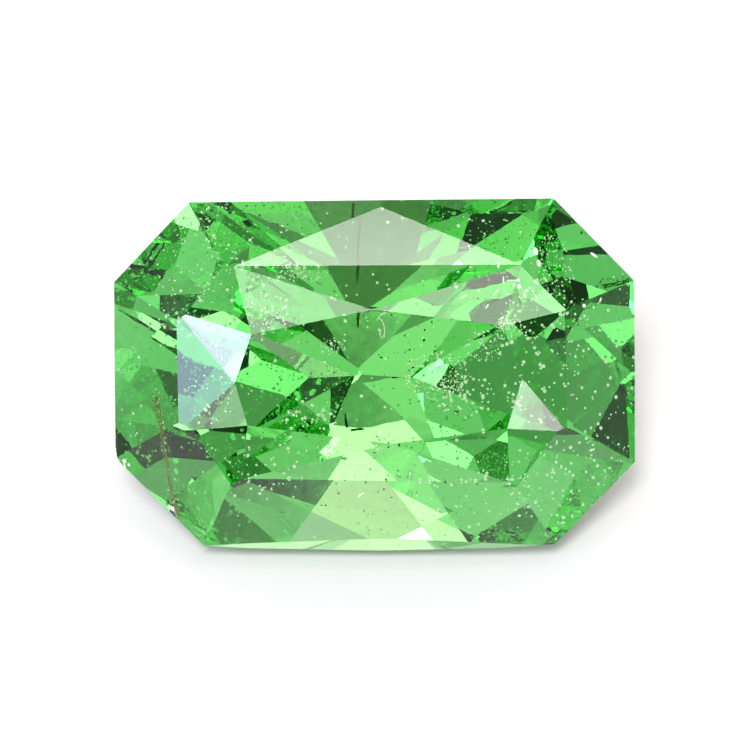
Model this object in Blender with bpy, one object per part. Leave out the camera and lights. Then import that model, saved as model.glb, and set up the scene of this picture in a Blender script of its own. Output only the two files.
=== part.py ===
"""A loose tsavorite garnet: a bright green stone of about 0.8 carat, cut as a cut-cornered
rectangle with a small table and many small facets.

The stone is made the way a lapidary makes it. A block of rough is ground to one flat plane
after another: the girdle that gives the outline, the crown above it, the pavilion below it
and the table. Every crown facet is ground to the meet points that it shares with its
neighbours, and every pavilion facet to an angle. The stone is cut face up and then laid down
on the pavilion facet that it comes to rest on when it is put on a flat surface.
"""
import math

import bmesh
import bpy
from mathutils import Matrix, Vector

MM = 0.001

# Driving dimensions, in millimetres and degrees. The stone is cut in its own frame: the table
# faces up, x runs along the stone, and height zero is the crown's edge on the girdle.
ROUGH_SIZE = 12.0
TABLE_HEIGHT = 0.86
RING_HEIGHT = 0.60
TIP_RISE = 0.03
CORNER_DROP = 0.10
GIRDLE_THICKNESS = 0.22
PAVILION_DEPTH = 2.44
CULET = (0.10, -0.03)
KEEL_HALF_LENGTH = 0.35
NEAR_BEVEL_ANGLE = 66.0
NEAR_BEVEL_EDGE = -2.13

# Compass points name the meet points, with north at the top of the face-up stone.
# The corners of the outline at the girdle, as x and y. The south side bows out a little.
OUTLINE = {
    "NNW": (-2.35, 2.17), "NNE": (2.27, 2.22), "ENE": (3.29, 1.18), "ESE": (3.30, -1.12),
    "SSE": (2.29, -2.16), "bow_E": (1.02, -2.25), "bow_W": (-1.06, -2.25), "SSW": (-2.16, -2.18),
    "WSW": (-3.28, -1.07), "WNW": (-3.30, 1.16),
}
# Where the lower side facets of the crown come to a tip at the girdle
TIPS = {"N": (0.08, 2.11), "E": (3.25, 0.02), "S": (0.11, -2.18), "W": (-3.25, 0.03)}
# The ring of meet points between the crown's lower and upper rows
RING = {
    "NNW": (-1.77, 1.35), "NNE": (1.85, 1.37), "ENE": (2.39, 0.79), "ESE": (2.42, -0.73),
    "SSE": (1.70, -1.37), "SSW": (-1.66, -1.32), "WSW": (-2.46, -0.73), "WNW": (-2.49, 0.78),
}
# The corners of the table
TABLE = {
    "N": (-0.01, 0.80), "NE": (1.61, 0.60), "E": (1.85, -0.06), "SE": (1.66, -0.69),
    "S": (0.20, -0.88), "SW": (-1.59, -0.65), "W": (-1.75, -0.12), "NW": (-1.54, 0.49),
}
# The two corners at the ends of each straight side and of each cut corner
SIDES = {"N": ("NNW", "NNE"), "E": ("ENE", "ESE"), "S": ("SSE", "SSW"), "W": ("WSW", "WNW")}
CUTS = {"NE": ("NNE", "ENE"), "SE": ("ESE", "SSE"), "SW": ("SSW", "WSW"), "NW": ("WNW", "NNW")}

# Pavilion mains, which run down to the keel: the way each one faces, its angle from the girdle
# plane, and the end of the keel that it reaches (1 is east, -1 is west)
MAINS = {
    "north": (82, 41.0, 0), "south": (-90, 42.5, 0), "east": (-3, 40.0, 1),
    "north_east": (55, 38.0, 1), "north_west": (122, 36.5, -1), "south_west": (-120, 40.0, -1),
    "west_north": (150, 31.5, -1), "east_south": (-49, 42.0, 1), "west_south": (-130, 37.5, -1),
}
REST_FACET = "south"
# Pavilion steps, single facets between the mains and the breaks: the way each one faces, its
# angle, and how far from the stone's axis it would reach the girdle's lower edge
STEPS = {
    "north": (85, 43.5, 2.59), "north_east": (32, 45.0, 3.33), "east": (15, 55.5, 3.39),
    "west": (-169, 41.5, 3.25),
}
# Pavilion breaks, steeper facets under the girdle: the side of the outline and the corner at its
# end that each one runs up to, its angle, and how far it turns away from the side's direction
BREAKS = {
    ("N", "NNW"): (47.0, 3.0), ("N", "NNE"): (53.0, -3.0),
    ("NE", "NNE"): (55.0, 4.0), ("NE", "ENE"): (46.0, -4.0),
    ("S", "SSE"): (65.0, 2.5), ("S", "SSW"): (67.0, -2.5),
    ("SW", "SSW"): (63.5, 3.0), ("SW", "WSW"): (57.0, -3.0),
    ("NW", "WNW"): (43.0, 0.0),
}

GARNET_GREEN = (0.10, 0.55, 0.13, 1.0)
GARNET_ROUGHNESS = 0.02
GARNET_IOR = 1.74


def at_height(points, height):
    """The named points of a flat outline, raised to one height."""
    return {name: Vector((x, y, height)) for name, (x, y) in points.items()}


def through(first, second, third):
    """The plane of a crown facet through three meet points, facing up."""
    facing = (second - first).cross(third - first).normalized()
    return first, facing if facing.z > 0 else -facing


def facing_down(direction, angle, point):
    """The plane of a pavilion facet through a point, at an angle from the girdle plane."""
    turn, slope = math.radians(direction), math.radians(angle)
    out, down = math.sin(slope), -math.cos(slope)
    return point, Vector((math.cos(turn) * out, math.sin(turn) * out, down))


def girdle_facets():
    """Upright flats that give the stone its outline, and the leaning bevel on its near edge."""
    corners = list(at_height(OUTLINE, 0.0).values())
    for corner, following in zip(corners, corners[1:] + corners[:1]):
        along = following - corner
        yield corner, Vector((-along.y, along.x, 0.0)).normalized()
    lean = math.radians(NEAR_BEVEL_ANGLE)
    yield Vector((0.0, NEAR_BEVEL_EDGE, 0.0)), Vector((0.0, -math.sin(lean), math.cos(lean)))


def crown_facets():
    """The table, the upper row that rises to it and the lower row that falls to the girdle."""
    table = at_height(TABLE, TABLE_HEIGHT)
    ring = at_height(RING, RING_HEIGHT)
    corners = at_height(OUTLINE, -CORNER_DROP)
    tips = at_height(TIPS, TIP_RISE)
    yield table["N"], Vector((0.0, 0.0, 1.0))
    for place, (start, end) in {**SIDES, **CUTS}.items():
        yield through(ring[start], ring[end], table[place])
    for side, ends in SIDES.items():
        for corner in ends:
            cut = next(name for name, pair in CUTS.items() if corner in pair)
            yield through(ring[corner], table[side], table[cut])
            yield through(ring[corner], corners[corner], tips[side])
        yield through(ring[ends[0]], ring[ends[1]], tips[side])
    for start, end in CUTS.values():
        yield through((ring[start] + ring[end]) / 2, corners[start], corners[end])


def pavilion_facets():
    """The mains, which meet at the keel, the steps, and the breaks at the girdle's corners."""
    keel = Vector((*CULET, -GIRDLE_THICKNESS - PAVILION_DEPTH))
    for direction, angle, end in MAINS.values():
        yield facing_down(direction, angle, keel + Vector((end * KEEL_HALF_LENGTH, 0.0, 0.0)))
    for direction, angle, span in STEPS.values():
        turn = math.radians(direction)
        foot = Vector((math.cos(turn) * span, math.sin(turn) * span, -GIRDLE_THICKNESS))
        yield facing_down(direction, angle, foot)
    corners = at_height(OUTLINE, -GIRDLE_THICKNESS)
    for (place, corner), (angle, turned) in BREAKS.items():
        start, end = {**SIDES, **CUTS}[place]
        side = corners[end] - corners[start]
        outward = math.degrees(math.atan2(side.x, -side.y))
        yield facing_down(outward + turned, angle, corners[corner])


def grind(stone, point, facing):
    """Grind away all that lies outside a plane, and leave a flat facet."""
    everything = stone.verts[:] + stone.edges[:] + stone.faces[:]
    cut = bmesh.ops.bisect_plane(stone, geom=everything, dist=1e-5, plane_co=point,
                                 plane_no=facing, clear_outer=True)
    rim = [piece for piece in cut["geom_cut"] if isinstance(piece, bmesh.types.BMEdge)]
    if rim:
        bmesh.ops.contextual_create(stone, geom=rim)


def lay_down(stone):
    """Turn the stone onto its rest facet, with its base at zero height and centred on it."""
    turn = Matrix.Rotation(math.radians(MAINS[REST_FACET][1]), 4, "X")
    bmesh.ops.transform(stone, matrix=Matrix.Scale(MM, 4) @ turn, verts=stone.verts)
    low, high = [Vector([pick(v.co[k] for v in stone.verts) for k in range(3)]) for pick in (min, max)]
    bmesh.ops.translate(stone, vec=-Vector(((low.x + high.x) / 2, (low.y + high.y) / 2, low.z)),
                        verts=stone.verts)


def garnet_material():
    """Clear green garnet, polished all over."""
    material = bpy.data.materials.new("green_garnet")
    material.use_nodes = True
    shader = material.node_tree.nodes["Principled BSDF"]
    shader.inputs["Base Color"].default_value = GARNET_GREEN
    shader.inputs["Roughness"].default_value = GARNET_ROUGHNESS
    shader.inputs["Metallic"].default_value = 0.0
    shader.inputs["IOR"].default_value = GARNET_IOR
    shader.inputs["Transmission Weight"].default_value = 1.0
    return material


def garnet():
    """The whole stone, one natural piece, cut and laid down."""
    stone = bmesh.new()
    bmesh.ops.create_cube(stone, size=ROUGH_SIZE)
    for facets in (girdle_facets(), crown_facets(), pavilion_facets()):
        for point, facing in facets:
            grind(stone, point, facing)
    lay_down(stone)
    mesh = bpy.data.meshes.new("garnet")
    stone.to_mesh(mesh)
    stone.free()
    mesh.materials.append(garnet_material())
    piece = bpy.data.objects.new("garnet", mesh)
    bpy.context.collection.objects.link(piece)


for leftover in list(bpy.data.objects):
    bpy.data.objects.remove(leftover, do_unlink=True)
garnet()
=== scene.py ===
import math

import bmesh
import bpy
from mathutils import Matrix, Vector
from mathutils.bvhtree import BVHTree


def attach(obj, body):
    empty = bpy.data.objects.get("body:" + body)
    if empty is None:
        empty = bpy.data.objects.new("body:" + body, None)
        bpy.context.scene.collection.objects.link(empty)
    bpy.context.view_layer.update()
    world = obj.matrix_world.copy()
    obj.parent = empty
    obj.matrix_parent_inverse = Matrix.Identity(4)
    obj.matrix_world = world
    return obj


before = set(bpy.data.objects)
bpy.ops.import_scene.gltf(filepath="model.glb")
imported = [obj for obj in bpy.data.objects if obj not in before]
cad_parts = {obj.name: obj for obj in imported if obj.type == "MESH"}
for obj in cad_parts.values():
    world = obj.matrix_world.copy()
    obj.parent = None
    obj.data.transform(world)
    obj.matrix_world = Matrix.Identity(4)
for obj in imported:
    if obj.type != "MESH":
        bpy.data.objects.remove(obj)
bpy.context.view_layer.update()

# The stone as it lies. The loose stone rests on a facet of its pavilion, so its table leans
# towards the near side by that facet's angle. The photograph looks straight down on the table,
# and the girdle's outline fixes where each of its pixels falls on the stone.
MM = 0.001
TABLE_LEAN = math.radians(42.5)
TABLE_ABOVE_GIRDLE = 0.86 * MM
PIXEL = MM / 79
OUTLINE_CENTRE = (374.5, 374.7)

stone = bpy.data.objects["garnet"]
right, far, out = Matrix.Rotation(TABLE_LEAN, 3, "X").col


def reach(direction):
    """The stone's lowest and highest distance along a direction."""
    steps = [corner.co.dot(direction) for corner in stone.data.vertices]
    return min(steps), max(steps)


girdle_centre = (right * sum(reach(right)) / 2 + far * sum(reach(far)) / 2
                 + out * (reach(out)[1] - TABLE_ABOVE_GIRDLE))


def at_pixel(column, row):
    """The point of the girdle's plane that a pixel of the photograph falls on."""
    across, up = column - OUTLINE_CENTRE[0], OUTLINE_CENTRE[1] - row
    return girdle_centre + (right * across + far * up) * PIXEL


# The garnet itself. One clear, polished crystal, coloured green all through: the colour is in
# the body, so it is deeper where light's path is longer. It grew in zones, of a slightly warmer
# green in the middle than at the ends, and polishing leaves the faintest ripple on its facets.
GARNET_IOR = 1.74
ABSORPTION_PER_M = (240.0, 50.0, 236.0)
BODY_DENSITY = 440.0
WARM_ZONE = (1.0, 1.0, 0.86, 1.0)
COOL_ZONE = (0.95, 1.0, 0.99, 1.0)
ZONES_PER_M = 500.0
COOL_FROM_MIDDLE = 3.6 * MM
RIPPLES_PER_M = 2600.0
RIPPLE_HEIGHT = 0.0000004


class Socket:
    """One output of a node, so that the maths of nodes reads as plain arithmetic."""

    def __init__(self, recipe, plug):
        self.recipe, self.plug = recipe, plug

    def maths(self, operation, first, second=0.0):
        return self.recipe.node("ShaderNodeMath", {"operation": operation}, {0: first, 1: second})["Value"]

    def __add__(self, other):
        return self.maths("ADD", self, other)

    def __radd__(self, other):
        return self.maths("ADD", other, self)

    def __sub__(self, other):
        return self.maths("SUBTRACT", self, other)

    def __rsub__(self, other):
        return self.maths("SUBTRACT", other, self)

    def __mul__(self, other):
        return self.maths("MULTIPLY", self, other)

    def __rmul__(self, other):
        return self.maths("MULTIPLY", other, self)

    def __truediv__(self, other):
        return self.maths("DIVIDE", self, other)

    def __pow__(self, other):
        return self.maths("POWER", self, other)

    def __abs__(self):
        return self.maths("ABSOLUTE", self)


class Recipe:
    """A tree of nodes: a material's, the studio's or a scatter group's."""

    def __init__(self, tree):
        self.tree = tree

    def node(self, kind, settings, sockets):
        """Adds a node, with its settings made first, and gives its outputs by name."""
        made = self.tree.nodes.new(kind)
        for setting, value in settings.items():
            setattr(made, setting, value)
        for key, value in sockets.items():
            for part in value if isinstance(value, list) else [value]:
                if isinstance(part, Socket):
                    self.tree.links.new(part.plug, made.inputs[key])
                else:
                    made.inputs[key].default_value = part
        return {plug.name: Socket(self, plug) for plug in made.outputs if plug.enabled}


def new_material(name):
    """An empty material, and the recipe for its nodes."""
    material = bpy.data.materials.new(name)
    material.use_nodes = True
    material.node_tree.nodes.clear()
    return material, Recipe(material.node_tree)


def noise(recipe, scale, detail=2.0):
    """Soft noise fixed to the piece, from 0 to 1, with so many waves to the metre."""
    place = recipe.node("ShaderNodeTexCoord", {}, {})["Object"]
    return recipe.node("ShaderNodeTexNoise", {}, {"Vector": place, "Scale": scale, "Detail": detail})["Fac"]


def blend_colour(recipe, share, first, second):
    """The first colour where share is 0, and the second where it is 1."""
    return recipe.node("ShaderNodeMix", {"data_type": "RGBA"}, {0: share, 6: first, 7: second})["Result"]


def garnet_material():
    """Clear green garnet, with its zones of growth and the ripple of its polish."""
    material, recipe = new_material("green_garnet")
    place = recipe.node("ShaderNodeTexCoord", {}, {})["Object"]
    along = recipe.node("ShaderNodeSeparateXYZ", {}, {"Vector": place})["X"]
    cool = abs(along) / COOL_FROM_MIDDLE + (noise(recipe, ZONES_PER_M, 1.0) - 0.5)
    tint = blend_colour(recipe, cool, WARM_ZONE, COOL_ZONE)
    normal = recipe.node("ShaderNodeBump", {}, {
        "Height": noise(recipe, RIPPLES_PER_M), "Distance": RIPPLE_HEIGHT})["Normal"]
    surface = recipe.node("ShaderNodeBsdfPrincipled", {}, {
        "Base Color": tint, "Roughness": 0.0, "IOR": GARNET_IOR, "Transmission Weight": 1.0,
        "Normal": normal})["BSDF"]
    passed = [1 - band / BODY_DENSITY for band in ABSORPTION_PER_M]
    body = recipe.node("ShaderNodeVolumeAbsorption", {}, {
        "Color": (*passed, 1.0), "Density": BODY_DENSITY})["Volume"]
    recipe.node("ShaderNodeOutputMaterial", {}, {"Surface": surface, "Volume": body})
    return material


stone.material_slots[0].material = garnet_material()

# White pinpoints. Specks of white mineral a few hundredths of a millimetre across grew into the
# crystal, thickest in one cloud right of the middle and in drifts elsewhere. Each sits a little
# way below the crown facet that it is seen through, where that facet's refraction puts it.
GRAIN_START = 2 * MM
GRAIN_RAY = 6 * MM
GRAIN_COVER = 0.06 * MM
MOTTLE_PER_M = 30000.0


def grains_tree(name, material):
    """A scatter group for one oval drift of grains below the crown."""
    tree = bpy.data.node_groups.new(name, "GeometryNodeTree")
    wanted = {"Geometry": "Geometry", "Stone": "Object", "Middle": "Vector", "Count": "Int",
              "Seed": "Int"}
    wanted.update(dict.fromkeys(["Half Width", "Half Height", "Gather", "Shallow", "Deep",
                                 "Smallest", "Largest", "Stretch"], "Float"))
    for label, kind in wanted.items():
        tree.interface.new_socket(label, in_out="INPUT", socket_type=f"NodeSocket{kind}")
    tree.interface.new_socket("Geometry", in_out="OUTPUT", socket_type="NodeSocketGeometry")
    recipe = Recipe(tree)
    given = recipe.node("NodeGroupInput", {}, {})

    def drawn(low, high, draw):
        return recipe.node("FunctionNodeRandomValue", {"data_type": "FLOAT"}, {
            2: low, 3: high, 8: given["Seed"] + draw})["Value"]

    def scaled(vector, length):
        return recipe.node("ShaderNodeVectorMath", {"operation": "SCALE"}, {0: vector, 3: length})["Vector"]

    def summed(first, second):
        return recipe.node("ShaderNodeVectorMath", {"operation": "ADD"}, {0: first, 1: second})["Vector"]

    turn = drawn(0.0, math.tau, 1)
    spread = drawn(0.0, 1.0, 2) ** given["Gather"]
    across = scaled(right, turn.maths("COSINE", turn) * spread * given["Half Width"])
    upward = scaled(far, turn.maths("SINE", turn) * spread * given["Half Height"])
    above = summed(given["Middle"], summed(summed(across, upward), out * GRAIN_START))
    points = recipe.node("GeometryNodePoints", {}, {"Count": given["Count"]})["Points"]
    placed = recipe.node("GeometryNodeSetPosition", {}, {0: points, "Position": above})["Geometry"]
    crown = recipe.node("GeometryNodeObjectInfo", {"transform_space": "RELATIVE"}, {
        "Object": given["Stone"]})["Geometry"]
    here = recipe.node("GeometryNodeInputPosition", {}, {})["Position"]
    ray = recipe.node("GeometryNodeRaycast", {}, {
        "Target Geometry": crown, "Source Position": here, "Ray Direction": -out,
        "Ray Length": GRAIN_RAY})
    bent = recipe.node("ShaderNodeVectorMath", {"operation": "REFRACT"}, {
        0: -out, 1: ray["Hit Normal"], 3: 1 / GARNET_IOR})["Vector"]
    below = summed(ray["Hit Position"], scaled(bent, drawn(given["Shallow"], given["Deep"], 3)))
    sunk = recipe.node("GeometryNodeSetPosition", {}, {
        0: placed, "Selection": ray["Is Hit"], "Position": below})["Geometry"]
    cover = ray["Hit Distance"] * ray["Is Hit"]
    bare = cover.maths("LESS_THAN", cover, GRAIN_COVER)
    held = recipe.node("GeometryNodeDeleteGeometry", {"domain": "POINT"}, {
        0: sunk, "Selection": bare})["Geometry"]
    grain = recipe.node("GeometryNodeMeshIcoSphere", {}, {"Radius": 1.0, "Subdivisions": 1})["Mesh"]
    spin = recipe.node("FunctionNodeRandomValue", {"data_type": "FLOAT_VECTOR"}, {
        0: (0.0, 0.0, 0.0), 1: (math.tau,) * 3, 8: given["Seed"] + 4})["Value"]
    girth = given["Smallest"] + (given["Largest"] - given["Smallest"]) * drawn(0.0, 1.0, 5) ** 2.0
    shape = recipe.node("ShaderNodeCombineXYZ", {}, {
        0: girth, 1: girth, 2: girth * given["Stretch"]})["Vector"]
    scattered = recipe.node("GeometryNodeInstanceOnPoints", {}, {
        "Points": held, "Instance": grain, "Rotation": spin, "Scale": shape})["Instances"]
    joined = recipe.node("GeometryNodeJoinGeometry", {}, {0: [given["Geometry"], scattered]})["Geometry"]
    smooth = recipe.node("GeometryNodeSetShadeSmooth", {}, {0: joined})["Geometry"]
    whole = recipe.node("GeometryNodeRealizeInstances", {}, {0: smooth})["Geometry"]
    painted = recipe.node("GeometryNodeSetMaterial", {}, {0: whole, "Material": material})["Geometry"]
    recipe.node("NodeGroupOutput", {}, {0: painted})
    return tree


def plain_mesh(piece, name):
    """The evaluated piece as a plain mesh in an object of its own, which rides on the stone."""
    bpy.context.view_layer.update()
    evaluated = piece.evaluated_get(bpy.context.evaluated_depsgraph_get())
    mesh = bpy.data.meshes.new_from_object(evaluated)
    mesh.name = name
    bpy.data.objects.remove(piece)
    made = bpy.data.objects.new(name, mesh)
    bpy.context.collection.objects.link(made)
    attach(made, "root")
    return made


def scatter(name, material, drifts, radii, depths, stretch=1.0):
    """Drifts of grains as one piece. A drift is its middle and half sizes in pixels, the number
    of its grains, and how they gather: 0.5 spreads them evenly and more draws them inwards."""
    tree = grains_tree(name, material)
    sockets = {item.name: item.identifier for item in tree.interface.items_tree
               if item.in_out == "INPUT"}
    carrier = bpy.data.objects.new(name, bpy.data.meshes.new(name))
    bpy.context.collection.objects.link(carrier)
    for seed, (column, row, half_width, half_height, count, gather) in enumerate(drifts):
        drift = carrier.modifiers.new(f"drift {seed}", "NODES")
        drift.node_group = tree
        values = {"Stone": stone, "Middle": at_pixel(column, row), "Count": count,
                  "Seed": 10 * seed, "Half Width": half_width * PIXEL,
                  "Half Height": half_height * PIXEL, "Gather": gather, "Shallow": depths[0],
                  "Deep": depths[1], "Smallest": radii[0], "Largest": radii[1],
                  "Stretch": stretch}
        for label, value in values.items():
            drift[sockets[label]] = value
    return plain_mesh(carrier, name)


def speck_material(name, dark, light, roughness, glow=0.0):
    """A mineral speck: two mixed shades, rough or glossy, with a painted glow of the given strength
    in its light shade, which lights it though it is no lamp."""
    material, recipe = new_material(name)
    shade = blend_colour(recipe, noise(recipe, MOTTLE_PER_M), dark, light)
    surface = recipe.node("ShaderNodeBsdfPrincipled", {}, {
        "Base Color": shade, "Roughness": roughness, "Emission Color": light,
        "Emission Strength": glow})["BSDF"]
    recipe.node("ShaderNodeOutputMaterial", {}, {"Surface": surface})
    return material


# White mineral: a greenish white, with a painted glow that lights the grains though they are no lamp.
white_mineral_painted_glow = speck_material("white_mineral_painted_glow", (0.50, 0.75, 0.46, 1), (0.80, 1.0, 0.74, 1), 0.5, 0.4)
# Each drift's middle and half sizes in pixels, the number of its grains, and how they gather
PINPOINT_CLOUDS = [
    (436, 376, 34, 25, 420, 0.7),
    (484, 346, 20, 18, 110, 0.6),
    (507, 326, 14, 16, 100, 0.7),
    (522, 300, 20, 14, 50, 0.6),
    (552, 265, 22, 32, 180, 0.6),
    (333, 346, 16, 9, 50, 0.6),
    (296, 272, 30, 12, 140, 0.6),
    (268, 312, 20, 20, 120, 0.6),
    (205, 262, 50, 60, 120, 0.5),
    (210, 395, 26, 34, 90, 0.5),
]
PINPOINT_DRIFTS = [
    (464, 396, 30, 22, 60, 0.6),
    (538, 350, 40, 85, 90, 0.5),
    (594, 365, 26, 85, 45, 0.5),
    (560, 480, 56, 46, 80, 0.5),
    (470, 500, 70, 42, 45, 0.5),
    (205, 275, 60, 64, 70, 0.5),
    (310, 412, 40, 14, 34, 0.5),
    (262, 470, 40, 34, 30, 0.5),
    (374, 375, 262, 172, 250, 0.5),
]
for name, drifts, radii, depths in (
        ("pinpoint_clouds", PINPOINT_CLOUDS, (0.005 * MM, 0.016 * MM), (0.03 * MM, 0.5 * MM)),
        ("pinpoints", PINPOINT_DRIFTS, (0.012 * MM, 0.028 * MM), (0.03 * MM, 0.9 * MM))):
    pinpoints = scatter(name, white_mineral_painted_glow, drifts, radii, depths)

# Dark specks. Far fewer grains, coloured nearly black: painted shade for specks that show dark
# against the bright facets of the near side.
speck_painted_shade = speck_material("speck_painted_shade", (0.004, 0.03, 0.004, 1), (0.03, 0.12, 0.02, 1), 0.4)
SPECK_DRIFTS = [
    (385, 482, 92, 52, 90, 0.5),
    (452, 400, 34, 24, 14, 0.5),
    (283, 510, 4, 3, 2, 0.5),
    (352, 251, 2, 2, 1, 0.5),
    (398, 214, 2, 2, 1, 0.5),
    (300, 280, 90, 50, 14, 0.5),
]
specks = scatter("dark_specks", speck_painted_shade, SPECK_DRIFTS, (0.006 * MM, 0.015 * MM),
                 (0.02 * MM, 0.3 * MM), stretch=1.5)

# The dark needle. One long, thin crystal runs in from the far side of the girdle towards the
# middle, just under the crown. One short one lies in line with it under the table, and another
# lies along the table's far edge.
NEEDLE_RADIUS = 0.017 * MM
# Each point's pixel in the photograph, and its depth in millimetres
NEEDLE = [(353.5, 203.5, 0.03), (352.5, 217, 0.05), (360.5, 221, 0.06), (357.5, 251, 0.06),
          (358.2, 266, 0.08), (357, 282, 0.15)]
SHORT_NEEDLE = [(358.5, 312, 0.10), (358.2, 320, 0.13), (358, 328, 0.18)]
EDGE_NEEDLE = [(363, 308.2, 0.08), (370, 308.6, 0.08), (376.5, 308.4, 0.08)]
needle_mineral = speck_material("needle_mineral", (0.01, 0.06, 0.003, 1), (0.05, 0.13, 0.015, 1), 0.9)
crown_rays = BVHTree.FromObject(stone, bpy.context.evaluated_depsgraph_get())


def inside(column, row, depth):
    """A point of the stone below the crown facet that a pixel of the photograph shows."""
    spot, facing, _, _ = crown_rays.ray_cast(at_pixel(column, row) + out * GRAIN_START, -out)
    share = 1 / GARNET_IOR
    steep = out.dot(facing)
    bent = -out * share + facing * (share * steep - math.sqrt(1 - share * share * (1 - steep * steep)))
    return spot + bent * depth


def rod(name, route, radii, material):
    """A thin rod with closed ends along a route, as thick at each point as its radius there."""
    curve = bpy.data.curves.new(name, "CURVE")
    curve.dimensions = "3D"
    curve.bevel_depth = 1.0
    curve.bevel_resolution = 1
    curve.use_fill_caps = True
    line = curve.splines.new("POLY")
    line.points.add(len(route) - 1)
    for point, place, radius in zip(line.points, route, radii):
        point.co = (*place, 1.0)
        point.radius = radius
    curve.materials.append(material)
    carrier = bpy.data.objects.new(name, curve)
    bpy.context.collection.objects.link(carrier)
    return plain_mesh(carrier, name)


for name, route in (("needle", NEEDLE), ("short_needle", SHORT_NEEDLE), ("edge_needle", EDGE_NEEDLE)):
    points = [inside(column, row, depth * MM) for column, row, depth in route]
    radii = [NEEDLE_RADIUS] * (len(route) - 1) + [NEEDLE_RADIUS / 2]
    needle = rod(name, points, radii, needle_mineral)

# Long bubbles. Short tubes and drops of trapped fluid, most of them near the far right of the
# crown, which shine white because light can't pass from the garnet into them: they are drawn
# opaque and white, with a painted glow for that shine. The wide one at the near left stands for
# the small chip where the healed crack comes out, and the one turned 58 degrees near the far
# right of the girdle is a painted glint.
bubble_painted_shine = speck_material("bubble_painted_shine", (0.85, 0.95, 0.85, 1), (0.95, 1.0, 0.94, 1), 0.2, 0.7)
# Each bubble's middle, its length and width in pixels, and how far it is turned from upright
BUBBLES = [
    (535, 252, 9, 5.5, 0), (538, 264, 8, 4.6, 0), (497.5, 266, 7, 2.6, 0), (502.5, 281, 9, 1.5, 0),
    (511, 281, 12, 0.8, 88), (518, 287, 5, 3.4, 0), (517.5, 281, 3.6, 2.4, 0), (495, 293, 8, 1.3, -38),
    (486, 307, 6, 1.3, -30), (463, 297, 8, 1.4, -60), (361, 494, 9, 1.8, -48), (594, 255, 9, 3.4, 58),
    (583, 306, 4, 3.6, 0), (600, 300, 5, 2.2, -20), (172, 508.5, 11, 5.0, 50), (124.5, 461, 4.5, 2.5, 10),
    (128.5, 465, 3.5, 2.8, 30), (380, 432, 7, 1.6, -35),
]
BUBBLE_DEPTH = 0.12 * MM
bubble_mesh = bmesh.new()
for column, row, length, width, turned in BUBBLES:
    lie = Matrix((right, far, out)).transposed() @ Matrix.Rotation(math.radians(turned), 3, "Z")
    form = Matrix.Diagonal((width * PIXEL / 2, length * PIXEL / 2, width * PIXEL / 2))
    place = Matrix.Translation(inside(column, row, BUBBLE_DEPTH))
    bmesh.ops.create_icosphere(bubble_mesh, subdivisions=2, radius=1.0,
                               matrix=place @ (lie @ form).to_4x4())
bubbles = bpy.data.objects.new("bubbles", bpy.data.meshes.new("bubbles"))
bubble_mesh.to_mesh(bubbles.data)
bubble_mesh.free()
bubbles.data.shade_smooth()
bubbles.data.materials.append(bubble_painted_shine)
bpy.context.collection.objects.link(bubbles)
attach(bubbles, "root")

# The hooked thread. A fine white crystal thread, curled back on itself, just below the far edge
# of the table.
THREAD = [(386, 311), (381, 315), (376, 321), (379, 319), (382, 321), (384, 326), (384.5, 332),
          (384, 337), (381.5, 338.5), (380, 335), (380.5, 330)]
THREAD_DEPTH = 0.2 * MM
THREAD_RADIUS = 0.007 * MM
THREAD_SWELL, THREAD_WAVE = 0.3, 2.1
thread_route = [inside(column, row, THREAD_DEPTH) for column, row in THREAD]
thread_radii = [THREAD_RADIUS * (1 + THREAD_SWELL * math.sin(THREAD_WAVE * step))
                for step in range(len(THREAD))]
thread = rod("hooked_thread", thread_route, thread_radii, white_mineral_painted_glow)

# The healed crack. An old crack at the near left has healed to a brownish seam with small
# droplets along it, and it comes out at the girdle in a tiny white chip.
# The seam's brownish stain, with a faint painted glow.
seam_stain_painted_glow = speck_material("seam_stain_painted_glow", (0.08, 0.10, 0.005, 1), (0.38, 0.40, 0.05, 1), 0.8, 0.1)
SEAM = [(156, 396), (158.5, 406), (160, 418), (161.5, 431), (163.5, 448), (167, 467), (169.5, 485),
        (172, 498), (174.5, 508), (178, 517)]
SEAM_GAP = 2
SEAM_DEPTH = 0.03 * MM
SEAM_RADIUS = 0.009 * MM
SEAM_SWELL, SEAM_WAVE = 0.4, 2.3
for name, shift in (("healed_crack", 0), ("healed_crack_edge", SEAM_GAP)):
    route = [inside(column + shift, row, SEAM_DEPTH) for column, row in SEAM]
    radii = [SEAM_RADIUS * (1 + SEAM_SWELL * math.sin(SEAM_WAVE * step + shift))
             for step in range(len(SEAM))]
    seam = rod(name, route, radii, seam_stain_painted_glow)
# Half the width and height in pixels over which droplets lie about each point of the seam
DROP_SPREAD = (4, 10)
DROP_STRETCH = 1.4
SEAM_DROPS = [(column + SEAM_GAP / 2, row, *DROP_SPREAD, 20, 0.6) for column, row in SEAM]
drops = scatter("seam_drops", seam_stain_painted_glow, SEAM_DROPS, (0.005 * MM, 0.014 * MM),
                (0.03 * MM, 0.10 * MM), DROP_STRETCH)
PALE_DROPS = [(column + SEAM_GAP / 2, row, *DROP_SPREAD, 7, 0.5) for column, row in SEAM]
pale_drops = scatter("pale_drops", white_mineral_painted_glow, PALE_DROPS, (0.005 * MM, 0.011 * MM),
                     (0.01 * MM, 0.05 * MM), DROP_STRETCH)

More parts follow.
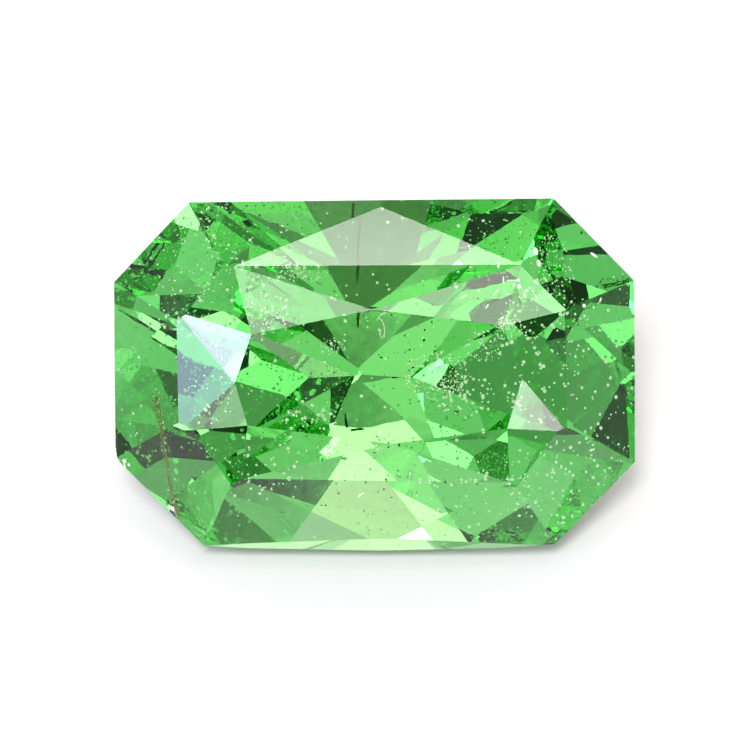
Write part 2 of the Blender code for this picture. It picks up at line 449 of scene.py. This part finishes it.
# The table top that the stone lies on: plain, pale and matt. The stone sees it greyer than the
# camera does: a painted shade, darker for every ray but the camera's, which darkens the floor that
# shows in the stone.
PAPER = (0.52, 0.507, 0.517, 1)
PAPER_PAINTED_SHADE = (0.42, 0.41, 0.41, 1)
FLOOR_SIDE = 0.5
FLOOR_GAP = 0.000002
floor_mesh = bmesh.new()
bmesh.ops.create_grid(floor_mesh, x_segments=1, y_segments=1, size=FLOOR_SIDE / 2,
                      matrix=Matrix.Translation((0, 0, -FLOOR_GAP)))
floor = bpy.data.objects.new("floor", bpy.data.meshes.new("floor"))
floor_mesh.to_mesh(floor.data)
floor_mesh.free()
paper, paper_recipe = new_material("white_paper")
# The camera sees the plain paper; every other ray gets the painted shade.
seen_outright = paper_recipe.node("ShaderNodeLightPath", {}, {})["Is Camera Ray"]
paper_and_painted_shade = blend_colour(paper_recipe, seen_outright, PAPER_PAINTED_SHADE, PAPER)
paper_surface = paper_recipe.node("ShaderNodeBsdfPrincipled", {}, {
    "Base Color": paper_and_painted_shade, "Roughness": 0.9, "Specular IOR Level": 0.0})["BSDF"]
paper_recipe.node("ShaderNodeOutputMaterial", {}, {"Surface": paper_surface})
floor.data.materials.append(paper)
bpy.context.collection.objects.link(floor)

# The studio: dim surroundings that turn pale towards the horizon, and a dark lens and hood about
# the camera. Bright panels and a few small dim screens stand where crown facets mirror them. Places
# are the way round from the stone's right and the tilt from the table's normal, in degrees.
DIM_ROOM = 0.045
PALE_TILT = 65.5
PALE_ROOM = 0.85
# The middle and half width of each panel's turn, its nearest and farthest tilt, and its light
PANELS = [
    (0, 14, 65.5, 78.0, (0.35, 0.35, 0.35)),
    (180, 12, 69.0, 82.0, (0.35, 0.35, 0.35)),
    (137, 7, 71.0, 78.0, (0.4, 0.4, 0.4)),
    (45, 8, 72.0, 79.0, (0.05, 0.05, 0.05)),
    (91, 5, 77.5, 81.5, (0.05, 0.05, 0.05)),
    (90, 75, 83.0, 113.0, (1.55, 1.3, 1.35)),
    (90, 45, 7.0, 25.5, (0.5, 0.5, 0.5)),
    (0, 45, 7.0, 25.5, (1.7, 1.7, 1.7)),
    (-90, 45, 7.0, 25.5, (3.6, 3.5, 3.2)),
    (180, 45, 7.0, 25.5, (1.2, 1.2, 1.2)),
    (90, 45, 53.0, 65.5, (1.2, 0.85, 0.95)),
    (0, 45, 53.0, 65.5, (1.0, 1.0, 1.0)),
    (-90, 45, 53.0, 65.5, (0.1, 0.1, 0.1)),
    (180, 45, 53.0, 65.5, (0.95, 0.95, 0.95)),
    (74, 37, 30.0, 45.5, (3.6, 3.75, 3.4)),
    (-16, 15, 34.5, 42.5, (6.1, 6.4, 5.8)),
    (182, 29, 28.0, 51.5, (2.8, 2.8, 2.8)),
    (171, 18, 28.0, 51.5, (3.5, 4.5, 5.7)),
    (159, 10, 27.0, 33.0, (9.5, 11.0, 12.5)),
    (90, 27, 70.5, 76.5, (6.8, 7.3, 6.4)),
]
SOFT_TURN, SOFT_TILT = 5.0, 3.0
studio = bpy.data.worlds.new("studio")
bpy.context.scene.world = studio
studio.use_nodes = True
studio.node_tree.nodes.clear()
light = Recipe(studio.node_tree)
sight = light.node("ShaderNodeTexCoord", {}, {})["Generated"]


def seen_along(direction):
    """How far the line of sight runs along a direction of the stone."""
    return light.node("ShaderNodeVectorMath", {"operation": "DOT_PRODUCT"}, {
        0: sight, 1: direction})["Value"]


def fade(inside_by, softness):
    """1 well inside an edge and 0 well outside it."""
    return light.node("ShaderNodeMath", {"operation": "ADD", "use_clamp": True}, {
        0: inside_by / softness, 1: 0.5})["Value"]


def lay_over(under, mask, over):
    """One light laid over another where the mask is 1."""
    return light.node("ShaderNodeMix", {"data_type": "VECTOR"}, {0: mask, 4: under, 5: over})["Result"]


tilt = seen_along(out)
tilt = tilt.maths("ARCCOSINE", tilt) * math.degrees(1)
around = seen_along(far)
around = around.maths("ARCTAN2", around, seen_along(right)) * math.degrees(1)
glow = lay_over((DIM_ROOM,) * 3, fade(tilt - PALE_TILT, SOFT_TILT), (PALE_ROOM,) * 3)
for middle, half_turn, nearest, farthest, colour in PANELS:
    off = abs(light.node("ShaderNodeMath", {"operation": "WRAP"}, {
        0: around - middle, 1: 180.0, 2: -180.0})["Value"])
    panel = (fade(half_turn - off, SOFT_TURN) * fade(tilt - nearest, SOFT_TILT)
             * fade(farthest - tilt, SOFT_TILT))
    glow = lay_over(glow, panel, colour)
seen = light.node("ShaderNodeLightPath", {}, {})["Is Camera Ray"]
glow = lay_over(glow, seen, (1.0,) * 3)
lit = light.node("ShaderNodeBackground", {}, {"Color": glow, "Strength": 1.0})["Background"]
light.node("ShaderNodeOutputWorld", {}, {"Surface": lit})

# The key lamp: a soft lamp a little to the far left of the camera, which lights only the matt
# things and so gives the stone its narrow grey shadow at the near right.
KEY_STRENGTH = 3.3
KEY_SOFTNESS = math.radians(15.0)
KEY_LEFT, KEY_FAR = 0.085, 0.20
key_lamp = bpy.data.objects.new("key_lamp", bpy.data.lights.new("key_lamp", "SUN"))
key_lamp.data.energy = KEY_STRENGTH
key_lamp.data.angle = KEY_SOFTNESS
key_lamp.rotation_euler = (out - right * KEY_LEFT + far * KEY_FAR).to_track_quat("Z", "Y").to_euler()
key_lamp.visible_glossy = False
key_lamp.visible_transmission = False
bpy.context.collection.objects.link(key_lamp)

# The camera: a long macro lens that looks straight down on the table, with the stone's length
# filling seven tenths of the square frame.
LENS = 300.0
SENSOR = 36.0
FRAME_CENTRE = (375, 375)
distance = FRAME_CENTRE[0] * 2 * PIXEL / SENSOR * LENS
camera = bpy.data.objects.new("camera", bpy.data.cameras.new("camera"))
camera.data.lens = LENS
camera.data.sensor_width = SENSOR
camera.data.clip_start = distance / 10
camera.data.clip_end = distance * 20
camera.location = at_pixel(*FRAME_CENTRE) + out * distance
camera.rotation_euler = (TABLE_LEAN, 0, 0)
bpy.context.collection.objects.link(camera)
bpy.context.scene.camera = camera

scene = bpy.context.scene
scene.view_settings.view_transform = "Standard"
scene.cycles.max_bounces = 32
scene.cycles.transmission_bounces = 32
scene.cycles.glossy_bounces = 16
scene.cycles.caustics_refractive = True
scene.cycles.denoising_input_passes = "RGB"
